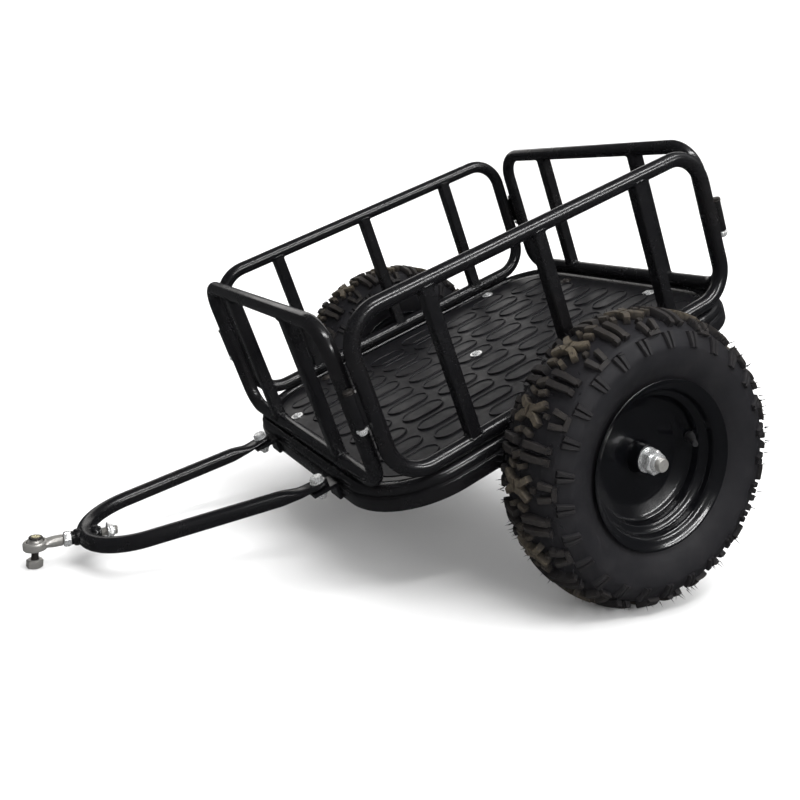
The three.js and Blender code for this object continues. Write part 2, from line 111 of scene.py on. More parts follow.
class Material:
    """A Principled material with procedural colour, roughness and relief, in the object's coordinates."""

    def __init__(self, name, metallic=0.0, specular=0.5, coat=0.0, coat_roughness=0.05):
        self.material = bpy.data.materials.new(name)
        self.material.use_nodes = True
        self.tree = self.material.node_tree
        self.shader = self.tree.nodes["Principled BSDF"]
        self.shader.inputs["Metallic"].default_value = metallic
        self.shader.inputs["Specular IOR Level"].default_value = specular
        self.shader.inputs["Coat Weight"].default_value = coat
        self.shader.inputs["Coat Roughness"].default_value = coat_roughness
        self.place = self.tree.nodes.new("ShaderNodeTexCoord").outputs["Object"]
        self.relief = None

    def link(self, source, target):
        self.tree.links.new(source, target)

    def node(self, kind, **values):
        """A new node with its inputs set; an underscore stands for a space in an input's name."""
        made = self.tree.nodes.new("ShaderNode" + kind)
        for name, value in values.items():
            made.inputs[name.replace("_", " ")].default_value = value
        return made

    def noise(self, scale, detail=4.0, roughness=0.55, stretch=None):
        node = self.node("TexNoise", Scale=scale, Detail=detail, Roughness=roughness)
        place = self.place
        if stretch:
            mapping = self.node("Mapping", Scale=stretch)
            self.link(place, mapping.inputs["Vector"])
            place = mapping.outputs["Vector"]
        self.link(place, node.inputs["Vector"])
        return node.outputs["Fac"]

    def remap(self, value, low, high, to_low=0.0, to_high=1.0):
        node = self.node("MapRange", From_Min=low, From_Max=high, To_Min=to_low, To_Max=to_high)
        self.link(value, node.inputs["Value"])
        return node.outputs["Result"]

    def combine(self, operation, first, second):
        node = self.node("Math")
        node.operation = operation
        node.use_clamp = True
        for socket, value in zip(node.inputs, (first, second)):
            if isinstance(value, (int, float)):
                socket.default_value = value
            else:
                self.link(value, socket)
        return node.outputs["Value"]

    def attribute(self, name):
        node = self.node("Attribute")
        node.attribute_name = name
        return node.outputs["Fac"]

    def mix(self, share, first, second):
        node = self.node("Mix")
        node.data_type = "RGBA"
        self.link(share, node.inputs["Factor"])
        for socket, colour in ((node.inputs[6], first), (node.inputs[7], second)):
            if isinstance(colour, tuple):
                socket.default_value = (*colour, 1.0)
            else:
                self.link(colour, socket)
        return node.outputs[2]

    def bump(self, height, strength, distance):
        node = self.node("Bump", Strength=strength, Distance=distance)
        self.link(height, node.inputs["Height"])
        if self.relief:
            self.link(self.relief, node.inputs["Normal"])
        self.relief = node.outputs["Normal"]

    def finish(self, colour, roughness):
        self.link(colour, self.shader.inputs["Base Color"])
        self.link(roughness, self.shader.inputs["Roughness"])
        if self.relief:
            self.link(self.relief, self.shader.inputs["Normal"])
            self.link(self.relief, self.shader.inputs["Coat Normal"])
        return self.material


def powder_coat():
    """Black powder coat: orange-peel gloss, a little brown dust and thin rubbed spots."""
    m = Material("black_powder_coat", specular=0.5)
    tone = m.mix(m.noise(9.0), (0.0028, 0.0028, 0.0034), (0.0056, 0.0055, 0.0062))
    dust = m.remap(m.noise(5.0, 6.0, 0.65), 0.55, 0.85, 0.0, 0.35)
    dusty = m.mix(dust, tone, (0.0125, 0.0100, 0.0085))
    scuff = m.remap(m.noise(140.0, 3.0, 0.6, (1.0, 1.0, 0.25)), 0.76, 0.84, 0.0, 0.35)
    colour = m.mix(scuff, dusty, (0.020, 0.020, 0.020))
    grime = m.remap(m.noise(26.0, 5.0), 0.3, 0.75, 0.0, 0.14)
    roughness = m.combine("ADD", m.remap(m.noise(240.0, 2.0), 0.2, 0.8, 0.15, 0.21), grime)
    m.bump(m.noise(420.0, 2.0), 0.06, 0.0004)
    m.bump(m.noise(40.0, 2.0), 0.05, 0.002)
    return m.finish(colour, roughness)


def rim_paint():
    m = Material("rim_gloss_black", specular=0.42, coat=0.25, coat_roughness=0.07)
    tone = m.mix(m.noise(14.0), (0.0012, 0.0013, 0.0018), (0.0030, 0.0031, 0.0040))
    dust = m.remap(m.noise(60.0, 6.0, 0.7), 0.58, 0.85, 0.0, 0.25)
    colour = m.mix(dust, tone, (0.0110, 0.0105, 0.0105))
    roughness = m.remap(m.noise(35.0, 4.0), 0.25, 0.8, 0.17, 0.30)
    m.bump(m.noise(160.0, 2.0), 0.02, 0.0004)
    return m.finish(colour, roughness)


def tyre_rubber():
    """Moulded rubber, with brown dust where the blocks' tops are marked with dust."""
    m = Material("tyre_rubber", specular=0.16)
    tone = m.mix(m.noise(12.0, 5.0), (0.0062, 0.0061, 0.0073), (0.0125, 0.0122, 0.0140))
    haze = m.remap(m.noise(28.0, 6.0, 0.7), 0.45, 0.8, 0.0, 0.35)
    hazy = m.mix(haze, tone, (0.0235, 0.0220, 0.0225))
    speck = m.remap(m.noise(220.0, 4.0, 0.7), 0.35, 0.65, 0.35, 1.0)
    dust = m.combine("MULTIPLY", m.attribute("dust"), speck)
    colour = m.mix(dust, hazy, (0.120, 0.098, 0.066))
    roughness = m.remap(m.noise(45.0, 5.0), 0.2, 0.8, 0.42, 0.68)
    m.bump(m.noise(900.0, 3.0), 0.22, 0.0004)
    m.bump(m.noise(70.0, 4.0), 0.12, 0.0012)
    return m.finish(colour, roughness)


def mat_rubber():
    m = Material("mat_rubber", specular=0.22)
    tone = m.mix(m.noise(7.0, 5.0), (0.0040, 0.0040, 0.0048), (0.0075, 0.0073, 0.0084))
    dust = m.remap(m.noise(16.0, 6.0, 0.7), 0.5, 0.85, 0.0, 0.4)
    colour = m.mix(dust, tone, (0.0165, 0.0150, 0.0150))
    roughness = m.remap(m.noise(60.0, 4.0), 0.2, 0.8, 0.32, 0.5)
    m.bump(m.noise(700.0, 3.0), 0.25, 0.0004)
    m.bump(m.noise(30.0, 3.0), 0.08, 0.001)
    return m.finish(colour, roughness)


def plated_steel(name, light, dark, stain, rough=(0.20, 0.36), metallic=0.72):
    m = Material(name, metallic=metallic)
    tone = m.mix(m.noise(70.0, 3.0), light, dark)
    spots = m.remap(m.noise(220.0, 4.0, 0.65), 0.58, 0.8, 0.0, 0.5)
    colour = m.mix(spots, tone, stain)
    roughness = m.remap(m.noise(500.0, 3.0, 0.6, (1.0, 1.0, 0.3)), 0.2, 0.8, *rough)
    m.bump(m.noise(900.0, 2.0), 0.05, 0.0002)
    return m.finish(colour, roughness)


def nylon():
    m = Material("nylon_insert", specular=0.5)
    colour = m.mix(m.noise(400.0), (0.62, 0.60, 0.54), (0.45, 0.44, 0.40))
    m.bump(m.noise(1200.0), 0.1, 0.0002)
    return m.finish(colour, m.remap(m.noise(300.0), 0.2, 0.8, 0.35, 0.5))


def black_plastic():
    m = Material("valve_rubber", specular=0.4)
    colour = m.mix(m.noise(200.0), (0.010, 0.010, 0.011), (0.022, 0.022, 0.023))
    m.bump(m.noise(900.0), 0.15, 0.0003)
    return m.finish(colour, m.remap(m.noise(150.0), 0.2, 0.8, 0.4, 0.6))


PAINT = powder_coat()
RIM_PAINT = rim_paint()
TYRE_RUBBER = tyre_rubber()
MAT_RUBBER = mat_rubber()
ZINC = plated_steel("zinc_plate", (0.80, 0.80, 0.79), (0.60, 0.61, 0.62), (0.36, 0.34, 0.31))
FORGED = plated_steel("forged_zinc", (0.44, 0.43, 0.41), (0.30, 0.29, 0.275), (0.17, 0.15, 0.12), (0.28, 0.5))
YELLOW_ZINC = plated_steel("yellow_zinc", (0.60, 0.55, 0.36), (0.46, 0.42, 0.28), (0.25, 0.21, 0.12))
DARK_STEEL = plated_steel("blackened_steel", (0.07, 0.064, 0.060), (0.035, 0.032, 0.030), (0.10, 0.07, 0.05),
                          (0.32, 0.55))
NYLON = nylon()
VALVE_RUBBER = black_plastic()

# ---- Mesh building: everything below is made as points and faces, then placed


class Shape:
    """Points and faces in one of the frames above, with a share of dust for each point."""

    def __init__(self):
        self.points = []
        self.faces = []
        self.dust = []

    def add(self, points, faces, dust=None):
        base = len(self.points)
        self.points.extend(Vector(p) for p in points)
        self.faces.extend(tuple(base + i for i in face) for face in faces)
        self.dust.extend(dust or [0.0] * len(points))
        return self

    def grid(self, rings, closed_along=False, closed_around=True, caps=True, dust=None):
        """Faces between rings of as many points each."""
        around = len(rings[0])
        points = [p for ring in rings for p in ring]
        faces = []
        count = len(rings)
        for i in range(count if closed_along else count - 1):
            here, there = i * around, ((i + 1) % count) * around
            for k in range(around if closed_around else around - 1):
                n = (k + 1) % around
                faces.append((here + k, here + n, there + n, there + k))
        if caps and not closed_along:
            faces.append(tuple(reversed(range(around))))
            faces.append(tuple(range((count - 1) * around, count * around)))
        return self.add(points, faces, dust)

    def merge(self, other, place=None):
        points = [place @ p for p in other.points] if place else other.points
        return self.add(points, other.faces, other.dust)


def piece(name, shape, place, material, body, replaces=(), sharp=32.0, marks_dust=False):
    """Makes one named Blender piece from a shape, shaded smooth up to the sharp angle."""
    mesh = bpy.data.meshes.new(name)
    mesh.from_pydata([place @ p for p in shape.points], [], shape.faces)
    if marks_dust:
        attribute = mesh.attributes.new("dust", "FLOAT", "POINT")
        attribute.data.foreach_set("value", shape.dust)
    work = bmesh.new()
    work.from_mesh(mesh)
    bmesh.ops.remove_doubles(work, verts=work.verts, dist=1e-6)
    bmesh.ops.dissolve_degenerate(work, edges=work.edges, dist=1e-7)
    bmesh.ops.recalc_face_normals(work, faces=work.faces)
    work.to_mesh(mesh)
    work.free()
    mesh.polygons.foreach_set("use_smooth", [True] * len(mesh.polygons))
    mesh.set_sharp_from_angle(angle=math.radians(sharp))
    mesh.materials.append(material)
    made = bpy.data.objects.new(name, mesh)
    bpy.context.scene.collection.objects.link(made)
    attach(made, body)
    if replaces:
        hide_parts(*replaces)


def painted(name, shape, replaces=(), sharp=32.0):
    """A painted piece of the chassis, whose shape is in the cart's own frame."""
    piece(name, shape, CART, PAINT, "chassis", replaces, sharp)


def repainted(name, edge):
    """Keeps a node of the frame as it is, with paint on it and its edges rounded by so many mm."""
    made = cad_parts[name]
    made.data.materials.clear()
    made.data.materials.append(PAINT)
    if edge:
        add_bevel(made, edge * MM)


def add_bevel(made, width):
    modifier = made.modifiers.new("edge", "BEVEL")
    modifier.width = width
    modifier.segments = 2
    modifier.limit_method = "ANGLE"
    modifier.angle_limit = math.radians(40)
    modifier.harden_normals = True


def circle(radius, sides, start=0.0):
    return [(radius * math.cos(start + 2 * math.pi * k / sides),
             radius * math.sin(start + 2 * math.pi * k / sides))
            for k in range(sides)]


def sweep(points, section, up):
    """A section carried round a closed path whose bends are square to up."""
    up = Vector(up)
    points = [Vector(p) for p in points]
    count = len(points)
    rings = []
    for i, point in enumerate(points):
        along = (points[(i + 1) % count] - points[i - 1]).normalized()
        side = up.cross(along).normalized()
        rise = along.cross(side)
        rings.append([point + side * u + rise * v for u, v in section])
    return Shape().grid(rings, closed_along=True)


def turned(profile, sides=64, closed=False, waves=None):
    """A piece turned about Y from (radius, y) points, which waves(angle, radius, y) may move."""
    rings = []
    for k in range(sides):
        angle = 2 * math.pi * k / sides
        ring = []
        for radius, y in profile:
            if waves:
                radius, y = waves(angle, radius, y)
            ring.append(Vector((radius * math.sin(angle), y, radius * math.cos(angle))))
        rings.append(ring)
    return Shape().grid(rings, closed_along=True, closed_around=closed, caps=False)


def softened(profile, radius, closed=False, steps=3):
    """The profile with each corner rounded."""
    count = len(profile)
    out = []
    for i, corner in enumerate(profile):
        if not closed and i in (0, count - 1):
            out.append(tuple(corner))
            continue
        here = Vector(corner)
        before, after = Vector(profile[i - 1]), Vector(profile[(i + 1) % count])
        back = min(radius, (before - here).length * 0.45)
        front = min(radius, (after - here).length * 0.45)
        start = here + (before - here).normalized() * back
        end = here + (after - here).normalized() * front
        for k in range(steps + 1):
            t = k / steps
            out.append(tuple(start * (1 - t) ** 2 + here * (2 * t * (1 - t)) + end * t ** 2))
    return out


def mirrored(profile, sign):
    return [(r, sign * y) for r, y in profile]


def rounded_rectangle(half_a, half_b, bend, steps=14, low_bend=None):
    points = []
    for corner, (sign_a, sign_b) in enumerate(((1, 1), (-1, 1), (-1, -1), (1, -1))):
        for i in range(steps + 1):
            angle = (corner + i / steps) * math.pi / 2
            radius = low_bend if low_bend and sign_b < 0 else bend
            points.append((sign_a * (half_a - radius) + radius * math.cos(angle),
                           sign_b * (half_b - radius) + radius * math.sin(angle)))
    return points


# ---- Fasteners, each made standing on Z = 0 and pointing up Z

RING_SIDES = 48
HEX = "hexagon"


def ringed(rings):
    """A solid from (radius, z) rings; with HEX as a third value a ring is a hexagon of that inner radius."""
    made = []
    for radius, z, *hexagon in rings:
        ring = []
        for k in range(RING_SIDES):
            angle = 2 * math.pi * k / RING_SIDES
            reach = radius
            if hexagon:
                folded = (angle + math.pi / 6) % (math.pi / 3) - math.pi / 6
                reach = radius / math.cos(folded)
            ring.append(Vector((reach * math.cos(angle), reach * math.sin(angle), z)))
        made.append(ring)
    return Shape().grid(made, caps=False)


def chamfered_hex(flat, low, high, bore=0.0, collar=0.0):
    """A hexagon with its corners turned off at both ends; a collar makes it a lock nut."""
    corner = flat / math.cos(math.pi / 6)
    cut = (corner - flat) * 0.75
    rings = [(bore, low), (bore + 0.6, low), (flat * 0.95, low), (flat, low + cut, HEX),
             (flat, high - cut, HEX), (flat * 0.95, high)]
    if collar:
        rings += [(flat * 0.86, high + 0.2), (flat * 0.84, high + collar * 0.55),
                  (flat * 0.72, high + collar), (flat * 0.62, high + collar), (bore, high + collar * 0.7)]
    elif bore:
        rings += [(bore + 0.6, high), (bore, high - 0.5)]
    else:
        rings += [(flat * 0.5, high + 0.25), (0.0, high + 0.3)]
    if bore:
        rings.append((bore, low))
    return ringed(rings)


def threaded(radius, low, high, pitch=1.25, depth=0.55):
    """A threaded shank with a chamfered, slightly dished end at high."""
    rings = [(0.0, low), (radius - depth, low)]
    z = low
    while z < high - pitch:
        rings += [(radius - depth, z), (radius, z + pitch * 0.5)]
        z += pitch
    rings += [(radius - depth, z), (radius - depth, high - 0.6), (radius - depth - 0.8, high),
              (1.2, high), (0.0, high - 0.8)]
    return ringed(rings)


def washer(outer, bore, low, high):
    soft = min(0.35, (high - low) * 0.3)
    return ringed([(bore, low), (outer - soft, low), (outer, low + soft), (outer, high - soft),
                   (outer - soft, high), (bore, high), (bore, low)])


def standing(point, out=(0, 0, 1), turn=0.0):
    """Places a fastener made on Z at a point, pointing along out."""
    rotation = Vector((0, 0, 1)).rotation_difference(Vector(out)).to_matrix().to_4x4()
    return Matrix.Translation(Vector(point)) @ rotation @ Matrix.Rotation(turn, 4, "Z")


# ---- Rails

TUBE_R = 11.0
RAIL_RISE = 227.0
SIDE_RAIL = {"x": 302.0, "y": 267.0, "bend": 52.0}
END_RAIL = {"x": 320.0, "y": 246.0, "bend": 45.0, "low_bend": 33.0}
SIDE_POSTS = {"rear": -182.0, "middle": 0.0, "front": 182.0}
END_POSTS = {"right": -121.0, "left": 121.0}
POST_HALF = 9.5


def post_shape(x, y):
    """A square tube with rounded edges whose ends run a little way into the round tubes."""
    outline = rounded_rectangle(POST_HALF, POST_HALF, 2.6, steps=4)
    low, high = TUBE_R * 0.35, RAIL_RISE - TUBE_R * 0.35
    rings = [[Vector((x + a, y + b, z)) for a, b in outline] for z in (low, high)]
    return Shape().grid(rings)


def weld_bead(x, y, along_x, foot, seed):
    """A lumpy fillet weld round one end of a post, on the round tube it stands on."""
    chance = random.Random(seed)
    outline = rounded_rectangle(POST_HALF + 0.6, POST_HALF + 0.6, 3.0, steps=3)
    dense = []
    for i, here in enumerate(outline):
        there = outline[(i + 1) % len(outline)]
        pieces = max(1, round(math.dist(here, there) / 2.2))
        dense += [(here[0] + (there[0] - here[0]) * k / pieces, here[1] + (there[1] - here[1]) * k / pieces)
                  for k in range(pieces)]
    middle = 0.0 if foot else RAIL_RISE
    sign = 1 if foot else -1
    path = []
    for a, b in dense:
        across = b if along_x else a
        lift = math.sqrt(max((TUBE_R + 0.2) ** 2 - across ** 2, 4.0))
        path.append(Vector((x + a, y + b, middle + sign * lift)))
    sizes = [1.7 + 0.45 * math.sin(i * 1.9) + chance.uniform(-0.25, 0.25) for i in range(len(path))]
    rings = []
    for i, point in enumerate(path):
        along = (path[(i + 1) % len(path)] - path[i - 1]).normalized()
        side = Vector((0, 0, 1)).cross(along)
        side = side.normalized() if side.length > 1e-6 else Vector((1, 0, 0))
        rise = along.cross(side)
        rings.append([point + side * (u * sizes[i]) + rise * (v * sizes[i]) for u, v in circle(1.0, 8)])
    return Shape().grid(rings, closed_along=True)


def build_rail(where, path, up, posts, along_x, step):
    """A bent tube loop with its square posts and their welds; posts are (place, x, y, seed)."""
    painted(f"rail_{where}_tube", sweep(path, circle(TUBE_R, 32), up), [f"rail_{where}"])
    beads = Shape()
    for place, x, y, seed in posts:
        painted(f"post_{where}_{place}_tube", post_shape(x, y), [f"post_{where}_{place}"])
        for foot in (True, False):
            beads.merge(weld_bead(x, y, along_x, foot, seed + foot * step))
    painted(f"rail_{where}_welds", beads, sharp=60.0)


def build_rails():
    middle = RAIL_RISE / 2
    outline = rounded_rectangle(SIDE_RAIL["x"], middle, SIDE_RAIL["bend"])
    for side, sign in SIDES:
        y = sign * SIDE_RAIL["y"]
        posts = [(place, x, y, round(x) + sign) for place, x in SIDE_POSTS.items()]
        build_rail(side, [(x, y, middle + z) for x, z in outline], (0, 1, 0), posts, True, 7)
    outline = rounded_rectangle(END_RAIL["y"], middle, END_RAIL["bend"], low_bend=END_RAIL["low_bend"])
    for end, sign in ENDS:
        x = sign * END_RAIL["x"]
        posts = [(place, x, y, round(y) + sign) for place, y in END_POSTS.items()]
        build_rail(end, [(x, y, middle + z) for y, z in outline], (1, 0, 0), posts, False, 5)


# ---- Corner joints

LUG = {"x": 323.0, "y": 265.0, "r": 6.5, "bottom": 92.0, "top": 139.0}


def build_corners():
    for end, sign_x in ENDS:
        for side, sign_y in SIDES:
            corner = f"{end}_{side}"
            x, y = sign_x * LUG["x"], sign_y * LUG["y"]
            barrel = turned(softened([(4.2, LUG["bottom"]), (LUG["r"], LUG["bottom"]), (LUG["r"], LUG["top"]),
                                      (4.2, LUG["top"])], 0.8, closed=True), 32, closed=True)
            upright = Matrix.Translation((x, y, 0)) @ Matrix.Rotation(math.pi / 2, 4, "X")
            whole = Shape().merge(barrel, upright)
            reach = x - sign_x * 13.0
            web = rounded_rectangle(abs(x - reach) / 2, 4.0, 1.0, steps=3)
            rings = [[Vector(((x + reach) / 2 + a, y + b, z)) for a, b in web]
                     for z in (LUG["bottom"] + 1, LUG["top"] - 1)]
            whole.merge(Shape().grid(rings))
            painted(f"corner_barrel_{corner}_body", whole, [f"corner_barrel_{corner}"])
            head = chamfered_hex(6.2, 0.6, 4.6)
            head.merge(washer(7.6, 4.2, 0.0, 0.6))
            head.merge(threaded(4.0, -LUG["top"] + LUG["bottom"] - 10.6, -1.0))
            piece(f"corner_bolt_{corner}_zinc", head,
                  CART @ standing((x, y, LUG["top"] + 0.1), turn=0.3 * sign_x + y),
                  DARK_STEEL, "chassis", [f"corner_bolt_{corner}"])
            piece(f"corner_nut_{corner}_zinc", chamfered_hex(6.6, 0.0, 5.2, 4.1, collar=2.6),
                  CART @ standing((x, y, LUG["bottom"] - 1.8), (0, 0, -1), 0.4), ZINC, "chassis",
                  [f"corner_nut_{corner}"])


# ---- Frame, deck and mat

SKIRT = {"x": 341.0, "y": 284.0, "bend": 118.0, "wall": 4.0, "top": -27.5, "bottom": -46.5}
RING_R = 9.5
RING_INSET = 12.5
RING_Z = -20.8


def build_frame():
    path = [(x, y, RING_Z) for x, y in rounded_rectangle(SKIRT["x"] - RING_INSET, SKIRT["y"] - RING_INSET,
                                                         SKIRT["bend"] - RING_INSET)]
    ring = sweep(path, circle(RING_R, 28), (0, 0, 1))
    painted("frame_ring_tube", ring, ["frame_ring"])
    half = SKIRT["wall"] / 2
    tall = (SKIRT["top"] - SKIRT["bottom"]) / 2
    path = [(x, y, SKIRT["bottom"] + tall) for x, y in rounded_rectangle(SKIRT["x"] - half, SKIRT["y"] - half,
                                                                         SKIRT["bend"] - half)]
    section = rounded_rectangle(half, tall, 1.2, steps=3)
    painted("frame_skirt_band", sweep(path, section, (0, 0, 1)), ["frame_skirt"])
    seam = [(x, y, -28.6) for x,
            y in rounded_rectangle(SKIRT["x"] - 4.5, SKIRT["y"] - 4.5, SKIRT["bend"] - 4.5)]
    painted("frame_seam_weld", sweep(seam, circle(2.6, 10), (0, 0, 1)))


MAT = {"x": 308.0, "y": 250.0, "bend": 95.0, "top": -13.0, "thick": 3.0}
PAD = {"pitch_x": 81.2, "pitch_y": 48.0, "half_x": 36.0, "half_y": 17.0, "straight": 24.0, "rise": 2.2}


def pad(x, y):
    """One raised pad: a long hexagon with round ends and rounded edges."""

    def outline(grow):
        reach, wide, straight = PAD["half_x"] + grow, PAD["half_y"] + grow, PAD["straight"] + grow * 0.5
        blunt = wide * 0.36
        return [(reach, -blunt), (reach, blunt), (straight, wide), (-straight, wide),
                (-reach, blunt), (-reach, -blunt), (-straight, -wide), (straight, -wide)]

    base = MAT["top"] - PAD["rise"]
    rings = []
    for grow, lift in ((0.5, -0.6), (0.1, 0.2), (0.0, 1.6), (-0.4, 2.3), (-1.1, 2.5), (-1.8, 2.3),
                       (-2.4, 1.3), (-3.0, 1.0)):
        ring = softened(outline(grow), 9.0, closed=True, steps=4)
        rings.append([Vector((x + a, y + b, base + lift)) for a, b in ring])
    return Shape().grid(rings)


def build_mat():
    base = MAT["top"] - PAD["rise"]
    rings = []
    for shrink, z in ((0.6, MAT["top"] - MAT["thick"]), (0.0, MAT["top"] - MAT["thick"] + 0.5),
                      (0.0, base - 0.5), (0.7, base)):
        rings.append([Vector((x, y, z)) for x, y in rounded_rectangle(MAT["x"] - shrink, MAT["y"] - shrink,
                                                                     MAT["bend"] - shrink)])
    mat = Shape().grid(rings)
    for column in range(-3, 4):
        x = column * PAD["pitch_x"]
        offset = -12.0 if column % 2 == 0 else 12.0
        for row in range(-5, 6):
            y = offset + row * PAD["pitch_y"]
            if abs(y) < 226.0:
                mat.merge(pad(x, y))
    piece("floor_mat_pads", mat, CART, MAT_RUBBER, "chassis", ["floor_mat"], sharp=25.0)


FLOOR_BOLTS = {"centre": (0.0, -4.0), "front_left": (289.0, 136.0), "front_right": (289.0, -136.0),
               "rear_left": (-287.0, 110.0), "rear_right": (-287.0, -110.0),
               "side_front_left": (186.0, 236.0),
               "side_front_right": (186.0, -236.0), "side_rear_left": (-186.0, 236.0),
               "side_rear_right": (-186.0, -236.0)}


def build_floor_bolts():
    for name, (x, y) in FLOOR_BOLTS.items():
        head = washer(10.5, 3.0, 0.0, 1.4)
        head.merge(ringed([(0.0, 1.0), (6.9, 1.2), (6.6, 2.6), (5.2, 3.8), (3.0, 4.3),
                           (2.4, 4.3), (2.2, 2.9), (0.0, 2.7)]))
        seat = MAT["top"] - (0.0 if name == "centre" else PAD["rise"])
        dull = name in ("rear_right", "side_front_right", "front_left")
        piece(f"floor_bolt_{name}", head, CART @ standing((x, y, seat)), DARK_STEEL if dull else ZINC,
              "chassis")


# ---- Axle

AXLE = {"r": 12.5, "half": 306.0, "spindle_r": 9.8, "spindle_end": 360.0, "thread_r": 9.6, "thread": 38.8}
AXLE_NUT_Y = 371.0


def build_axle():
    for name in ("axle_beam", "axle_bracket_left", "axle_bracket_right", "deck_plate"):
        repainted(name, 0.0 if name == "deck_plate" else 1.0)
    r, half = AXLE["r"], AXLE["half"]
    shaft = turned(softened([(0, -half), (r, -half), (r, half), (0, half)], 0.8), 40)
    for sign in (1, -1):
        r, end = AXLE["spindle_r"], AXLE["spindle_end"]
        shaft.merge(turned(mirrored(softened([(r, half - 1.0), (r, end), (9.2, end)], 0.2), sign), 40))
        seat = standing((0, sign * end, 0), (0, sign, 0))
        shaft.merge(threaded(AXLE["thread_r"], 0.0, AXLE["thread"], pitch=1.5, depth=0.8), seat)
    place = CART @ Matrix.Translation((0, 0, AXLE_Z))
    piece("axle_shaft", shaft, place, FORGED, "chassis", ["axle"])
    for side, sign in SIDES:
        nut = washer(16.2, 10.3, 0.3, 2.2)
        nut.merge(chamfered_hex(14.8, 2.2, 15.6, 10.2, collar=5.2))
        at = CART @ standing((0, sign * AXLE_NUT_Y, AXLE_Z), (0, sign, 0), 0.5)
        piece(f"axle_lock_nut_{side}", nut, at, ZINC, "chassis", [f"axle_nut_{side}"])
        insert = ringed([(9.9, 18.2), (10.9, 18.2), (10.9, 20.1), (9.9, 19.9), (9.9, 18.2)])
        piece(f"axle_nut_insert_{side}", insert, at, NYLON, "chassis")


# ---- Wheels

# The tyre's outline from the middle of the tread to the bead, as (radius, distance out from the middle).
TYRE_OUTLINE = [(203.0, 0.0), (202.6, 14.0), (196.8, 36.5), (186.5, 52.0), (175.0, 58.0), (160.0, 60.8),
                (146.0, 59.6),
                (133.0, 55.0), (122.0, 48.0), (116.5, 44.0), (113.5, 42.6)]
BLOCK_DEPTH = [(0.0, 10.5), (30.0, 10.5), (52.0, 8.0), (74.0, 3.4), (84.0, 0.8), (200.0, 0.0)]
MM_PER_DEGREE = 3.4


def dense_outline():
    """(arc, radius, y, outward normal) every 1.5 mm or so along half of the tyre's outline, smoothed."""
    raw = []
    for (r0, y0), (r1, y1) in zip(TYRE_OUTLINE, TYRE_OUTLINE[1:]):
        count = max(2, round(math.hypot(r1 - r0, y1 - y0) / 1.5))
        raw += [[r0 + (r1 - r0) * k / count, y0 + (y1 - y0) * k / count] for k in range(count)]
    raw.append(list(TYRE_OUTLINE[-1]))
    for _ in range(30):
        smooth = [list(p) for p in raw]
        for i in range(1, len(raw) - 1):
            for axis in (0, 1):
                smooth[i][axis] = (raw[i - 1][axis] + 2 * raw[i][axis] + raw[i + 1][axis]) / 4
        smooth[0][0] = smooth[1][0]
        raw = smooth
    out = []
    arc = 0.0
    for i, (r, y) in enumerate(raw):
        if i:
            arc += math.hypot(r - raw[i - 1][0], y - raw[i - 1][1])
        a, b = raw[max(i - 1, 0)], raw[min(i + 1, len(raw) - 1)]
        dr, dy = b[0] - a[0], b[1] - a[1]
        if i == 0:
            dr, dy = 0.0, 1.0
        length = math.hypot(dr, dy)
        out.append((arc, r, y, dy / length, -dr / length))
    return out


OUTLINE = dense_outline()


def interpolate(table, x):
    for (x0, *a), (x1, *b) in zip(table, table[1:]):
        if x <= x1:
            t = max(0.0, (x - x0) / (x1 - x0))
            return [p + (q - p) * t for p, q in zip(a, b)]
    return list(table[-1][1:])


def on_tyre(across, around, height):
    """A point of the tyre, from its arc from the tread's middle, degrees around and height on the carcass."""
    r, y, nr, ny = interpolate(OUTLINE, abs(across))
    depth = interpolate(BLOCK_DEPTH, abs(across))[0]
    sign = 1 if across >= 0 else -1
    lift = height - depth
    radius, side = r + nr * lift, sign * (y + ny * lift)
    angle = math.radians(around)
    return Vector((radius * math.cos(angle), side, radius * math.sin(angle)))


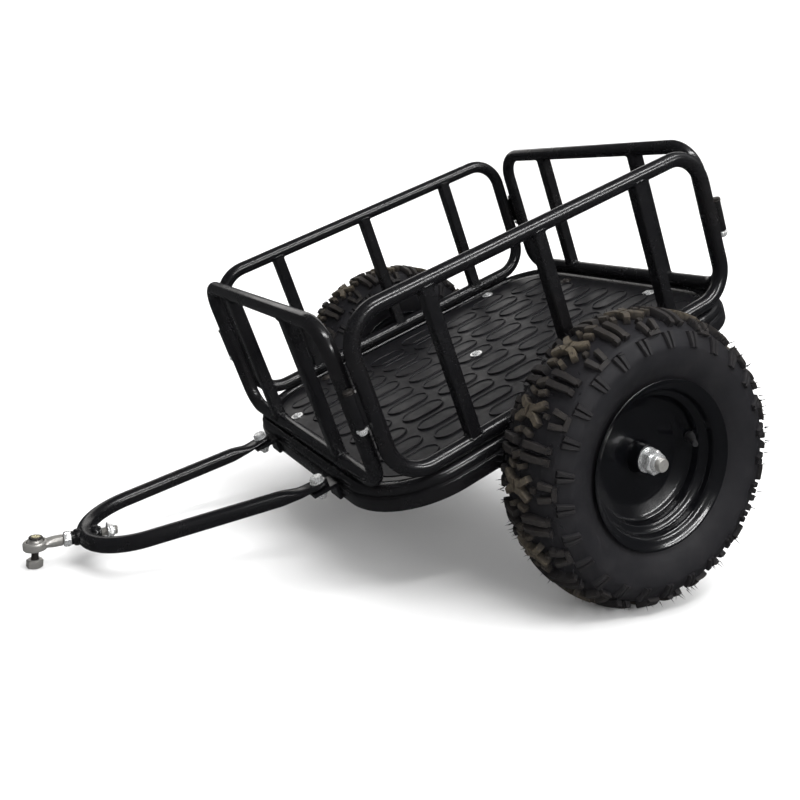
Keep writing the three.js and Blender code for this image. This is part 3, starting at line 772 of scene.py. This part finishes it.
def block(shape, path, width, rise, dusty=0.0, taper=1.1):
    """One tread bar along a path of (across mm, around degrees) points. Its rise is a share of the full depth
    or, over 1, in mm; its width is in mm, or a list of widths along the path."""
    stations = []
    for i, ((a0, t0), (a1, t1)) in enumerate(zip(path, path[1:])):
        length = math.hypot(a1 - a0, (t1 - t0) * MM_PER_DEGREE)
        count = max(1, round(length / 5.0))
        stations += [(i + k / count, a0 + (a1 - a0) * k / count, t0 + (t1 - t0) * k / count)
                     for k in range(count)]
    stations.append((len(path) - 1.0, *path[-1]))
    rings = []
    dust = []
    last = len(stations) - 1
    for i, (where, across, around) in enumerate(stations):
        before, after = stations[max(i - 1, 0)], stations[min(i + 1, last)]
        r = interpolate(OUTLINE, abs(across))[0]
        per_degree = r * math.pi / 180
        da, dt = after[1] - before[1], (after[2] - before[2]) * per_degree
        length = math.hypot(da, dt) or 1.0
        na, nt = -dt / length, da / length
        if isinstance(width, (list, tuple)):
            whole = min(int(where), len(width) - 2)
            wide = width[whole] + (width[whole + 1] - width[whole]) * (where - whole)
        else:
            wide = width
        full = interpolate(BLOCK_DEPTH, abs(across))[0]
        top = rise if rise > 1.0 else full * rise
        top = max(top, 1.2)
        back = 0.8 if i == 0 else -0.8 if i == last else 0.0
        ring = []
        for half, height, along in ((wide / 2 + taper, -1.0, 0.0), (wide / 2 + 0.25, top - 0.9, back * 0.6),
                                    (wide / 2 - 0.5, top, back * 1.6)):
            ring.append((half, height, along))
        profile = ring + [(-h, z, along) for h, z, along in reversed(ring)]
        points = []
        for half, height, along in profile:
            a = across + na * half + da / length * along
            t = around + (nt * half + dt / length * along) / per_degree
            points.append(on_tyre(a, t, height))
            dust.append(dusty if height > top - 0.95 else dusty * 0.25 if height > 0 else 0.0)
        rings.append(points)
    base = len(shape.points)
    shape.grid(rings, caps=False, dust=dust)
    around_count = len(rings[0])
    for first, flip in ((base, True), (base + last * around_count, False)):
        face = list(range(first, first + around_count))
        shape.faces.append(tuple(reversed(face)) if flip else tuple(face))


REPEATS = 13
TREAD_START = -7.2


def build_tread(shape, sign_seed):
    """Crossed blocks on the middle, forked lugs between them, and small blocks and ribs down the walls."""
    chance = random.Random(sign_seed)
    step = 360.0 / REPEATS
    for repeat in range(REPEATS):
        start = TREAD_START + repeat * step
        half = start + step / 2
        dusty = 0.35 + 0.45 * chance.random()
        for sign in (1, -1):
            for turn in (-1, 1):
                block(shape, [(sign * 1.0, start + turn * 1.0), (sign * 11, start + turn * 1.6),
                              (sign * 23, start + turn * 4.2)], [9.5, 8.5, 7.5], 1.0, dusty)
                block(shape, [(sign * 38, start + turn * 2.9), (sign * 58, start + turn * 2.1)], [7.5, 6.5],
                      1.0, 0.10)
                block(shape, [(sign * 8, half + turn * 2.1), (sign * 26, half + turn * 2.3),
                              (sign * 49, half + turn * 1.9)], [9.0, 8.5, 7.0], 1.0, 0.18 * dusty)
                block(shape, [(sign * 48, half + turn * 1.0), (sign * 48, half + turn * 3.7)], 6.0, 1.0, 0.08)
            block(shape, [(sign * 60, start - 3.1), (sign * 60, start + 3.1)], 6.5, 1.0, 0.08)
            block(shape, [(sign * 29, start - 1.2), (sign * 29, start + 1.2)], 6.0, 0.7, dusty * 0.3)
            for turn in (-1, 1):
                block(shape, [(sign * 3, start + turn * 6.9), (sign * 16, start + turn * 8.4)], [7.0, 6.0],
                      0.9,
                      dusty * 0.6)
        block(shape, [(-8, half - 3.4), (8, half - 1.2)], 8.0, 1.0, dusty * 0.4)
    for rib in range(REPEATS * 2):
        middle = TREAD_START + (rib + 0.5) * step / 2
        for sign in (1, -1):
            for turn in (-1, 1):
                block(shape, [(sign * 62, middle + turn * 1.5), (sign * 74, middle + turn * 1.25),
                              (sign * 85, middle + turn * 0.9)], [6.2, 5.0, 3.6], 4.6, 0.03)


HAIRS = {"count": 380, "foot": 6.0, "radius": 0.85}
HAIR_ROWS = (8.0, 18.0, 26.0, 44.0, 50.0, 58.0, 64.0)
HAIR_LENGTH = (7.0, 13.0)


def build_hairs(shape, seed):
    """Thin moulding hairs on the blocks and shoulders, with none that would reach into the ground."""
    chance = random.Random(seed)
    for _ in range(HAIRS["count"]):
        sign = chance.choice((1, -1))
        across = sign * chance.choice(HAIR_ROWS)
        around = chance.uniform(0, 360)
        foot = on_tyre(across, around, HAIRS["foot"])
        length = chance.uniform(*HAIR_LENGTH)
        tip = on_tyre(across + chance.uniform(-3, 3), around + chance.uniform(-1.2, 1.2),
                      HAIRS["foot"] + length)
        if tip.z < -TYRE_R - 1.0:
            continue
        aside = (tip - foot).cross(Vector((0, 1, 0.3))).normalized() * HAIRS["radius"]
        other = (tip - foot).cross(aside).normalized() * HAIRS["radius"]
        ring = [foot + aside, foot + other, foot - aside, foot - other]
        shape.add([*ring, tip], [(0, 1, 4), (1, 2, 4), (2, 3, 4), (3, 0, 4), (3, 2, 1, 0)])


def tyre_shape(seed):
    shape = Shape()
    profile = []
    for across, *_ in reversed(OUTLINE[::2]):
        profile.append(on_tyre(-across, 0, 0.0))
    for across, *_ in OUTLINE[2::2]:
        profile.append(on_tyre(across, 0, 0.0))
    outer = [(p.x, p.y) for p in profile]
    lip = [(108.0, 41.6), (104.5, 40.0), (102.4, 36.5), (102.0, 30.0), (112.0, 36.0), (150.0, 47.0),
           (186.0, 22.0)]
    whole = [*outer, *lip, *[(r, -y) for r, y in reversed(lip)]]
    shape.merge(turned(whole, 144, closed=True))
    crown = OUTLINE[0][1] - BLOCK_DEPTH[0][1]
    seam = [(crown + 0.2 + 0.9 * math.cos(a), 0.9 * math.sin(a)) for a in (0.0, 1.05, 2.1, 3.15, 4.2, 5.25)]
    shape.merge(turned(seam, 144, closed=True))
    build_tread(shape, seed)
    build_hairs(shape, seed + 50)
    return shape


RIM_PROFILE = [(115, -49), (115, -46.8), (108, -43.5), (102.5, -40.5), (101, -36), (101, -21), (90, -13),
               (90, 21),
               (101, 30), (101, 36), (102.5, 40.5), (108, 43.5), (114.2, 47.2), (115.2, 48.8), (114.6, 50.0),
               (112.8, 49.8), (108.4, 46.4), (102.5, 43.4), (98.6, 39.4), (98, 30.5), (94, 27.2),
               (88.2, 24.6),
               (87, 20), (86.6, 13), (82, 8.5), (67, 0.5), (20.8, 0.5), (20.8, -2.5), (68, -2.5), (87, 8),
               (87, -14.5), (98, -22.5), (98.6, -39.4), (102.5, -43.4), (108.4, -46.4)]
VALVE_ANGLE = math.radians(162)

HUB = {"bore": 17.9, "r": 20.5, "inner": -42.5, "outer": 20.5}
BEARINGS = {"inner": -42.5, "outer": 8.5}
BEARING_WIDTH = 12.0


def build_wheels():
    for side, sign in SIDES:
        place = wheel_frame(sign)
        body = f"{side}_wheel"
        tyre = tyre_shape(7 if sign > 0 else 19)
        piece(f"tyre_{side}_treaded", tyre, place, TYRE_RUBBER, body, [f"tyre_{side}"], sharp=38.0,
              marks_dust=True)
        profile = softened(mirrored(RIM_PROFILE, sign), 2.2, closed=True, steps=4)
        piece(f"rim_{side}_pressed", turned(profile, 128, closed=True), place, RIM_PAINT, body,
              [f"rim_{side}"])
        bore, r, low, high = HUB["bore"], HUB["r"], HUB["inner"], HUB["outer"]
        hub = softened([(bore, low), (r, low), (r, high), (bore, high)], 0.7, closed=True)
        made = turned(mirrored(hub, sign), 48, closed=True)
        bead = [(21.4 + 2.2 * math.cos(a), sign * (1.0 + 2.2 * math.sin(a)))
                for a in (0.0, 1.25, 2.5, 3.75, 5.0)]
        made.merge(turned(bead, 72, closed=True, waves=lambda angle, r,
                          y: (r + 0.35 * math.sin(angle * 23), y)))
        piece(f"hub_{side}_tube", made, place, RIM_PAINT, body, [f"hub_{side}"])
        for where, low in BEARINGS.items():
            high = low + BEARING_WIDTH
            race = softened([(10.7, low), (12.4, low), (12.6, low + 1), (15.4, low + 1), (15.6, low),
                             (17.5, low),
                             (17.5, high), (15.6, high), (15.4, high - 1), (12.6, high - 1), (12.4, high),
                             (10.7, high)], 0.25, closed=True, steps=1)
            piece(f"bearing_{side}_{where}_races", turned(mirrored(race, sign), 48, closed=True), place,
                  ZINC, body, [f"bearing_{side}_{where}"])
        build_valve(side, sign, place, body)


def build_valve(side, sign, place, body):
    """A snap-in valve through the rim's stepped wall, leaning outwards."""
    foot = Vector((84.0 * math.cos(VALVE_ANGLE), sign * 14.0, 84.0 * math.sin(VALVE_ANGLE)))
    out = Vector((-0.55 * math.cos(VALVE_ANGLE), sign * 0.83, -0.55 * math.sin(VALVE_ANGLE)))
    stem = ringed([(0.0, -3.0), (7.6, -3.0), (7.8, 1.0), (5.6, 4.0), (4.6, 12.0),
                   (3.9, 19.0), (0.0, 19.0)])
    piece(f"valve_stem_{side}", stem, place @ standing(foot, out), VALVE_RUBBER, body)
    cap = ringed([(0.0, 18.5), (3.9, 18.5), (4.1, 19.2), (4.1, 25.5), (3.4, 27.0),
                  (0.0, 27.2)])
    piece(f"valve_cap_{side}", cap, place @ standing(foot, out), VALVE_RUBBER, body)


# ---- Drawbar

TOW_BOLT = {"x": 363.4, "y": 121.6, "z": -17.0}
NOSE = {"x": 661.0, "z": 28.0, "bend": 84.0}
LEG_SLOPE = 0.17
BAR_END = 350.0
FLAT_TO = 392.0
FLAT_HALF = (15.0, 4.0)
SLEEVE_FOOT = 84.0
SLEEVE_BEADS = (53.5, 76.5)


def bar_height(x):
    return TOW_BOLT["z"] + max(x - FLAT_TO, 0.0) * (NOSE["z"] - TOW_BOLT["z"]) / (NOSE["x"] - FLAT_TO)


def drawbar_path():
    middle = NOSE["x"] - NOSE["bend"]
    tangent = math.pi / 2 - math.atan(LEG_SLOPE)
    meet_x = middle + NOSE["bend"] * math.cos(tangent)
    meet_y = NOSE["bend"] * math.sin(tangent)
    xs = [BAR_END + k for k in (0.0, 0.4, 1.2, 2.4, 4.0, 6.0, 9.0, 12.0, 15.0)]
    x = BAR_END + 20.0
    while x < meet_x - 6:
        xs.append(x)
        x += 5.0 if x < 460 else 12.0
    leg = [(x, meet_y + LEG_SLOPE * (meet_x - x)) for x in xs]
    steps = 36
    arc = [(middle + NOSE["bend"] * math.cos(a), NOSE["bend"] * math.sin(a))
           for a in (tangent * (1 - 2 * i / steps) for i in range(steps + 1))]
    other = [(x, -y) for x, y in reversed(leg)]
    return [(x, y, bar_height(x)) for x, y in (*leg, *arc, *other)]


def bar_size(point):
    share = min(max((point.x - FLAT_TO + 14) / 44.0, 0.0), 1.0)
    share = share * share * (3 - 2 * share)
    from_end = min(point.x - BAR_END, FLAT_HALF[0])
    rounding = math.sqrt(max(1 - ((FLAT_HALF[0] - from_end) / (FLAT_HALF[0] * 1.01)) ** 2, 0.0))
    wide = FLAT_HALF[0] * rounding * (1 - share) + TUBE_R * share
    tall = FLAT_HALF[1] * (1 - share) + TUBE_R * share
    return wide / TUBE_R, tall / TUBE_R


def squared(radius, sides):
    """A round section with slightly flattened top and bottom, so the pressed ends read as flats."""
    return [(radius * math.copysign(abs(math.cos(a)) ** 0.8, math.cos(a)),
             radius * math.copysign(abs(math.sin(a)) ** 0.8, math.sin(a)))
            for a in (2 * math.pi * (k + 0.5) / sides for k in range(sides))]


def along_shank(distance):
    return Vector((BALL.x - distance * math.cos(ROD_RISE), 0.0, BALL.z - distance * math.sin(ROD_RISE)))


def build_drawbar():
    path = drawbar_path()
    round_section = circle(TUBE_R, 32, math.pi / 32)
    flat_section = squared(TUBE_R, 32)
    up = Vector((0, 0, 1))
    rings = []
    points = [Vector(p) for p in path]
    for i, point in enumerate(points):
        along = (points[min(i + 1, len(points) - 1)] - points[max(i - 1, 0)]).normalized()
        side = up.cross(along).normalized()
        rise = along.cross(side)
        wide, tall = bar_size(point)
        share = min(max((tall * TUBE_R - FLAT_HALF[1]) / (TUBE_R - FLAT_HALF[1]), 0.0), 1.0)
        ring = []
        for (u0, v0), (u1, v1) in zip(flat_section, round_section):
            u, v = u0 * (1 - share) + u1 * share, v0 * (1 - share) + v1 * share
            ring.append(point + side * (u * wide) + rise * (v * tall))
        rings.append(ring)
    painted("drawbar_tube", Shape().grid(rings), ["drawbar"], sharp=50.0)
    outward = Vector((math.cos(ROD_RISE), 0, math.sin(ROD_RISE)))
    sleeve = ringed([(6.3, 0.0), (8.4, 0.0), (9.0, 0.7), (9.0, 38.1), (8.4, 38.8),
                     (6.3, 38.8), (6.3, 0.0)])
    piece("drawbar_sleeve_tube", sleeve, CART @ standing(along_shank(SLEEVE_FOOT), outward), PAINT, "chassis",
          ["drawbar_sleeve"])
    beads = Shape()
    for distance in SLEEVE_BEADS:
        bead = turned([(9.2 + 2.2 * c, 5.0 * s) for c, s in circle(1.0, 10)], 60, closed=True,
                      waves=lambda angle, r,
                      y: (r + 0.15 * math.sin(angle * 17), y + 0.25 * math.sin(angle * 9)))
        beads.merge(bead, standing(along_shank(distance), outward) @ Matrix.Rotation(-math.pi / 2, 4, "X"))
    painted("drawbar_sleeve_welds", beads, sharp=60.0)
    for side, sign in SIDES:
        repainted(f"drawbar_tab_{side}", 0.8)
        x, y = TOW_BOLT["x"], sign * TOW_BOLT["y"]
        top = TOW_BOLT["z"] + FLAT_HALF[1]
        head = washer(10.6, 5.2, 0.0, 1.6)
        head.merge(chamfered_hex(8.3, 1.8, 8.2))
        head.merge(threaded(5.0, -26.0, 1.9))
        piece(f"drawbar_bolt_{side}_zinc", head, CART @ standing((x, y, top + 0.1), turn=0.35), ZINC,
              "chassis",
              [f"drawbar_bolt_{side}"])
        nut = washer(10.2, 5.2, 0.0, 1.5)
        nut.merge(chamfered_hex(8.2, 1.5, 6.6, 5.1, collar=2.6))
        piece(f"drawbar_nut_{side}_zinc", nut, CART @ standing((x, y, -26.6), (0, 0, -1), 0.2), ZINC,
              "chassis",
              [f"drawbar_nut_{side}"])


# ---- Hitch

SHANK_START = -34.5
JAM_NUT_AT = -44.9
SHANK_WASHER_AT = -93.9
SHANK_NUT_AT = -94.5
STUD_NUT_AT = -30.0
BALL_R = 11.0
BALL_HALF = 9.0


def rod_end_shape():
    """The forged eye and its shank; local X runs out along the shank and Z through the eye."""
    eye = softened([(11.6, -6.0), (14.2, -6.0), (16.0, -3.6), (16.0, 3.6), (14.2, 6.0), (11.6, 6.0),
                    (11.0, 3.0),
                    (11.3, 0.0), (11.0, -3.0)], 1.0, closed=True, steps=3)
    shape = Shape()
    shape.merge(turned(eye, 64, closed=True), Matrix.Rotation(math.pi / 2, 4, "X"))
    stations = [(-12.5, 10.4, 5.6), (-15.0, 9.8, 6.1), (-18.0, 8.9, 6.8), (-21.0, 8.1, 7.4),
                (-25.0, 7.7, 7.7),
                (-29.5, 7.6, 7.6), (-33.6, 7.6, 7.6), (-34.4, 7.0, 7.0), (-35.0, 6.2, 6.2), (-35.2, 5.6, 5.6)]
    rings = [[Vector((x, wide * c, tall * s)) for c, s in circle(1.0, 32)] for x, wide, tall in stations]
    shape.merge(Shape().grid(rings))
    shape.merge(threaded(6.0, 0.0, 71.5, pitch=1.5), standing((SHANK_START, 0, 0), (-1, 0, 0)))
    return shape


def build_hitch():
    housing = joint_frame(ROD_RISE)
    body = "rod_end_housing"
    piece("rod_end_forged", rod_end_shape(), housing, FORGED, body, ["rod_end"])
    piece("jam_nut_zinc", chamfered_hex(9.5, 0.0, 9.4, 6.2),
          housing @ standing((JAM_NUT_AT, 0, 0), (1, 0, 0), 0.2), ZINC,
          body, ["jam_nut"])
    piece("shank_washer", washer(12.2, 6.4, 0.0, 1.6), housing @ standing((SHANK_WASHER_AT, 0, 0), (1, 0, 0)),
          ZINC, body)
    piece("shank_nut_zinc", chamfered_hex(8.6, 0.0, 5.6, 6.2, collar=2.2),
          housing @ standing((SHANK_NUT_AT, 0, 0), (-1, 0, 0), 0.1), ZINC, body, ["shank_nut"])
    plumb = joint_frame(TILT)
    top = math.asin(BALL_HALF / BALL_R)
    profile = [(BALL_R * math.cos(a), BALL_R * math.sin(a)) for a in (top * (k / 8 - 1) for k in range(17))]
    ball = turned([*profile, (5.7, BALL_HALF), (5.7, -BALL_HALF)], 48, closed=True)
    piece("rod_end_ball_polished", ball, plumb @ Matrix.Rotation(math.pi / 2, 4, "X"), FORGED, "ball",
          ["rod_end_ball"])
    cap = ringed([(0.0, 9.3), (8.3, 9.3), (9.0, 9.9), (9.0, 10.9), (8.4, 11.6), (0.0, 11.6)])
    piece("hitch_stud_cap", cap, plumb, DARK_STEEL, "stud")
    centre = ringed([(0.0, 11.3), (6.0, 11.3), (5.9, 12.1), (5.0, 12.5), (2.0, 12.5), (1.5, 11.9),
                     (0.0, 11.9)])
    piece("hitch_stud_centre", centre, plumb, YELLOW_ZINC, "stud")
    stem = Shape().merge(threaded(4.8, -9.4, 29.7, pitch=1.25), standing((0, 0, 0), (0, 0, -1)))
    piece("hitch_stud_thread", stem, plumb, DARK_STEEL, "stud", ["hitch_stud"])
    nut = chamfered_hex(9.4, 0.0, 11.0, 5.2)
    piece("stud_nut_zinc", nut, plumb @ standing((0, 0, STUD_NUT_AT), turn=0.25), FORGED, "stud",
          ["stud_nut"])


# ---- Stage


def flat_material(name, colour, roughness):
    m = Material(name, specular=0.2)
    tone = m.mix(m.noise(3.0), colour, tuple(c * 0.985 for c in colour))
    return m.finish(tone, m.remap(m.noise(4.0), 0.0, 1.0, roughness, roughness + 0.02))


def build_stage():
    """A pale round floor that curves up into a pale wall all round the cart."""
    run = [(0.0004, 0.0), (0.6, 0.0), (2.2, 0.0)]
    run += [(2.2 + 1.8 * math.sin(a), 1.8 - 1.8 * math.cos(a))
            for a in (math.pi / 2 * k / 20 for k in range(1, 21))]
    run += [(4.0, 7.0)]
    rings = [[Vector((x, y, z)) for x, y in circle(r, 96)] for r, z in run]
    floor = Shape().grid(rings, caps=False)
    mesh = bpy.data.meshes.new("studio_floor")
    mesh.from_pydata(floor.points, [], floor.faces)
    mesh.polygons.foreach_set("use_smooth", [True] * len(mesh.polygons))
    mesh.materials.append(flat_material("studio_paper", (0.70, 0.70, 0.70), 0.85))
    made = bpy.data.objects.new("studio_floor", mesh)
    made.visible_glossy = False
    bpy.context.scene.collection.objects.link(made)


def area_light(name, place, target, size, energy, colour=(1.0, 1.0, 1.0), glossy=True):
    data = bpy.data.lights.new(name, "AREA")
    data.shape = "RECTANGLE"
    data.size, data.size_y = size
    data.energy = energy
    data.color = colour
    made = bpy.data.objects.new(name, data)
    bpy.context.scene.collection.objects.link(made)
    away = Vector(target) - Vector(place)
    made.matrix_world = Matrix.Translation(place) @ away.to_track_quat("-Z", "Y").to_matrix().to_4x4()
    made.visible_glossy = glossy
    made.visible_camera = False


def strip_light(name, middle, aim, length, width, energy):
    """A narrow lamp along the cart's own X; middle and aim are (x, y, z) and (y, z) in the cart's frame."""
    back = Vector((0.0, middle[1] - aim[0], middle[2] - aim[1])).normalized()
    along = Vector((1, 0, 0))
    turn = Matrix((along, back.cross(along), back)).transposed().to_4x4()
    area_light(name, (0, 0, 1), (0, 0, 0), (length, width), energy)
    where = CART @ Vector(middle)
    bpy.data.objects[name].matrix_world = Matrix.Translation(where) @ TIP @ turn


def build_lights():
    world = bpy.data.worlds.new("studio")
    bpy.context.scene.world = world
    world.use_nodes = True
    background = world.node_tree.nodes["Background"]
    background.inputs["Color"].default_value = (0.95, 0.97, 1.0, 1.0)
    background.inputs["Strength"].default_value = 0.06
    area_light("ceiling", (-0.3, -0.4, 3.6), (-0.3, -0.4, 0), (4.2, 4.2), 190.0, glossy=False)
    area_light("fill_near", (1.2, 3.0, 1.0), (0, 0, 0.1), (3.0, 1.6), 30.0, glossy=False)
    area_light("fill_far", (-2.0, -2.4, 1.4), (0, 0, 0.1), (3.0, 1.6), 30.0, glossy=False)
    strip_light("strip_over", (-1500, 1500, 2050), (267, 227), 2.8, 0.14, 56.0)
    strip_light("strip_low", (-1250, 2374, 788), (-267, 227), 2.4, 0.11, 40.0)
    area_light("panel_behind", (-1.2, -3.2, 2.2), (0, 0, 0.4), (5.0, 1.1), 26.0, (1.0, 0.98, 0.96))
    area_light("panel_high", (-2.2, 0.6, 2.8), (0, 0, 0.4), (1.4, 2.6), 5.0)
    bpy.context.scene.view_settings.view_transform = "Standard"


build_rails()
build_corners()
build_frame()
build_mat()
build_floor_bolts()
build_axle()
build_wheels()
build_drawbar()
build_hitch()
build_stage()
build_lights()
